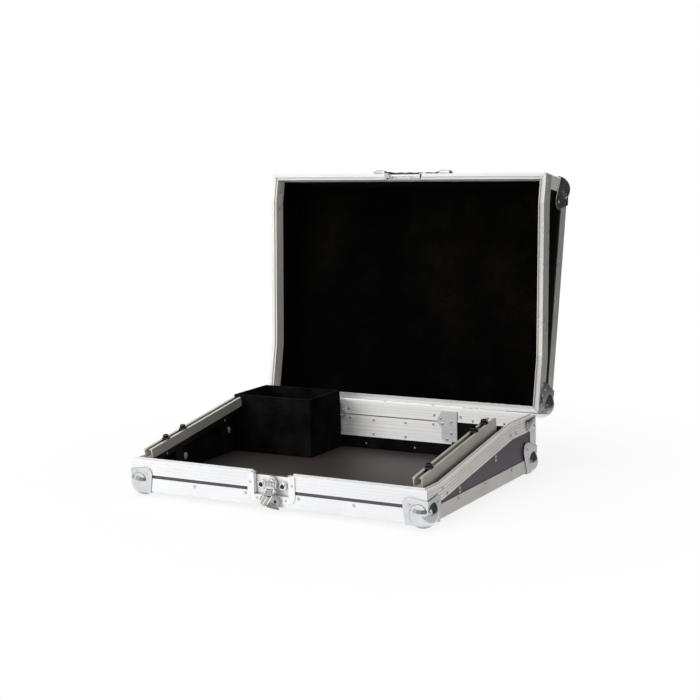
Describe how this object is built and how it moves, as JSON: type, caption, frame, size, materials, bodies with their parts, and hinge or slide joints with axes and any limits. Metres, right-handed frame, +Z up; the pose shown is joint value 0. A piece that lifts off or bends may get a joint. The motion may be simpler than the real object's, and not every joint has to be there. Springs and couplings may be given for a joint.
{
  "type": "lighting controller case",
  "caption": "Slanted rack-width flight case with aluminium edging, ball corners, rack rails, cable compartment, rear hatch and latch, its hinged lid held open.",
  "frame": {"origin": "under the middle of the open case, on the surface that it stands on", "axes": "+X to the right seen from the front, +Y from the latch to the lid hinges, +Z up"},
  "size_m": [0.526, 0.5356, 0.4791],
  "materials": {
    "laminated_ply": "dark phenolic film on plywood, satin",
    "aluminium_edging": "mill finish, faintly ribbed",
    "rail_aluminium": "anodised, satin",
    "zinc_steel": "bright zinc plate",
    "black_steel": "black plated screws with cup washers",
    "felt_lining": "short black felt on board",
    "grip_rubber": "black moulded grip"
  },
  "bodies": {
    "tray": {"base_floor_panel": "laminated_ply", "base_left_panel": "laminated_ply", "base_right_panel": "laminated_ply", "base_front_panel": "laminated_ply", "base_rear_panel": "laminated_ply", "base_rim_front": "aluminium_edging", "base_rim_rear": "aluminium_edging", "base_rim_left": "aluminium_edging", "base_rim_right": "aluminium_edging", "base_edge_front": "aluminium_edging", "base_edge_rear": "aluminium_edging", "base_edge_left": "aluminium_edging", "base_edge_right": "aluminium_edging", "base_ball_corner_front_left": "zinc_steel", "base_ball_corner_front_right": "zinc_steel", "base_ball_corner_rear_right": "zinc_steel", "base_ball_corner_rear_left": "zinc_steel", "rack_rail_left": "rail_aluminium", "rack_rail_right": "rail_aluminium", "cable_compartment": "felt_lining", "hatch_hinge_leaf": "zinc_steel", "hatch_stop_left": "zinc_steel", "hatch_stop_right": "zinc_steel", "latch_dish": "zinc_steel", "hinge_left_tray_leaf": "zinc_steel", "hinge_right_tray_leaf": "zinc_steel"},
    "lid": {"lid_top_panel": "laminated_ply", "lid_left_panel": "laminated_ply", "lid_right_panel": "laminated_ply", "lid_front_panel": "laminated_ply", "lid_rear_panel": "laminated_ply", "lid_rim_front": "aluminium_edging", "lid_rim_rear": "aluminium_edging", "lid_rim_left": "aluminium_edging", "lid_rim_right": "aluminium_edging", "lid_edge_front": "aluminium_edging", "lid_edge_rear": "aluminium_edging", "lid_edge_left": "aluminium_edging", "lid_edge_right": "aluminium_edging", "lid_ball_corner_front_left": "zinc_steel", "lid_ball_corner_front_right": "zinc_steel", "lid_ball_corner_rear_right": "zinc_steel", "lid_ball_corner_rear_left": "zinc_steel", "lid_latch_catch": "zinc_steel", "handle_bracket_left": "zinc_steel", "handle_bracket_right": "zinc_steel", "hinge_left_lid_leaf": "zinc_steel", "hinge_right_lid_leaf": "zinc_steel"},
    "hatch": {"hatch_panel": "laminated_ply", "hatch_channel_upper": "aluminium_edging", "hatch_channel_lower": "aluminium_edging"},
    "latch_drum": {"latch_drum": "zinc_steel"},
    "latch_wing": {"latch_wing": "zinc_steel"},
    "handle": {"handle_grip": "grip_rubber"},
    "rack_screw_left_1": {"rack_screw_left_1": "black_steel"},
    "rack_screw_left_2": {"rack_screw_left_2": "black_steel"},
    "rack_screw_right_1": {"rack_screw_right_1": "black_steel"},
    "rack_screw_right_2": {"rack_screw_right_2": "black_steel"},
    "rack_screw_right_3": {"rack_screw_right_3": "black_steel"}
  },
  "joints": [
    {"name": "lid_hinge", "type": "hinge", "parent": "tray", "child": "lid", "pos_m": [0, 0.12325, 0.092], "axis": [1, 0, 0], "range_deg": [0, 102]},
    {"name": "hatch_hinge", "type": "hinge", "parent": "tray", "child": "hatch", "pos_m": [0, 0.12115, 0.036], "axis": [-1, 0, 0], "range_deg": [0, 95]},
    {"name": "latch_turn", "type": "hinge", "parent": "tray", "child": "latch_drum", "pos_m": [0, -0.25945, 0.042], "axis": [0, 1, 0], "range_deg": [0, 180]},
    {"name": "latch_wing_fold", "type": "hinge", "parent": "latch_drum", "child": "latch_wing", "pos_m": [0, -0.26545, 0.033], "axis": [-1, 0, 0], "range_deg": [0, 175]},
    {"name": "handle_swing", "type": "hinge", "parent": "lid", "child": "handle", "pos_m": [0, 0.20511, 0.47229], "axis": [1, 0, 0], "range_deg": [0, 90]},
    {"name": "rack_screw_left_1_slide", "type": "slide", "parent": "tray", "child": "rack_screw_left_1", "axis": [0, 0.9878, 0.1558], "range_m": [-0.035, 0.015]},
    {"name": "rack_screw_left_2_slide", "type": "slide", "parent": "tray", "child": "rack_screw_left_2", "axis": [0, 0.9878, 0.1558], "range_m": [-0.015, 0.14]},
    {"name": "rack_screw_right_1_slide", "type": "slide", "parent": "tray", "child": "rack_screw_right_1", "axis": [0, 0.9878, 0.1558], "range_m": [-0.025, 0.11]},
    {"name": "rack_screw_right_2_slide", "type": "slide", "parent": "tray", "child": "rack_screw_right_2", "axis": [0, 0.9878, 0.1558], "range_m": [-0.015, 0.01]},
    {"name": "rack_screw_right_3_slide", "type": "slide", "parent": "tray", "child": "rack_screw_right_3", "axis": [0, 0.9878, 0.1558], "range_m": [-0.01, 0.017]}
  ]
}
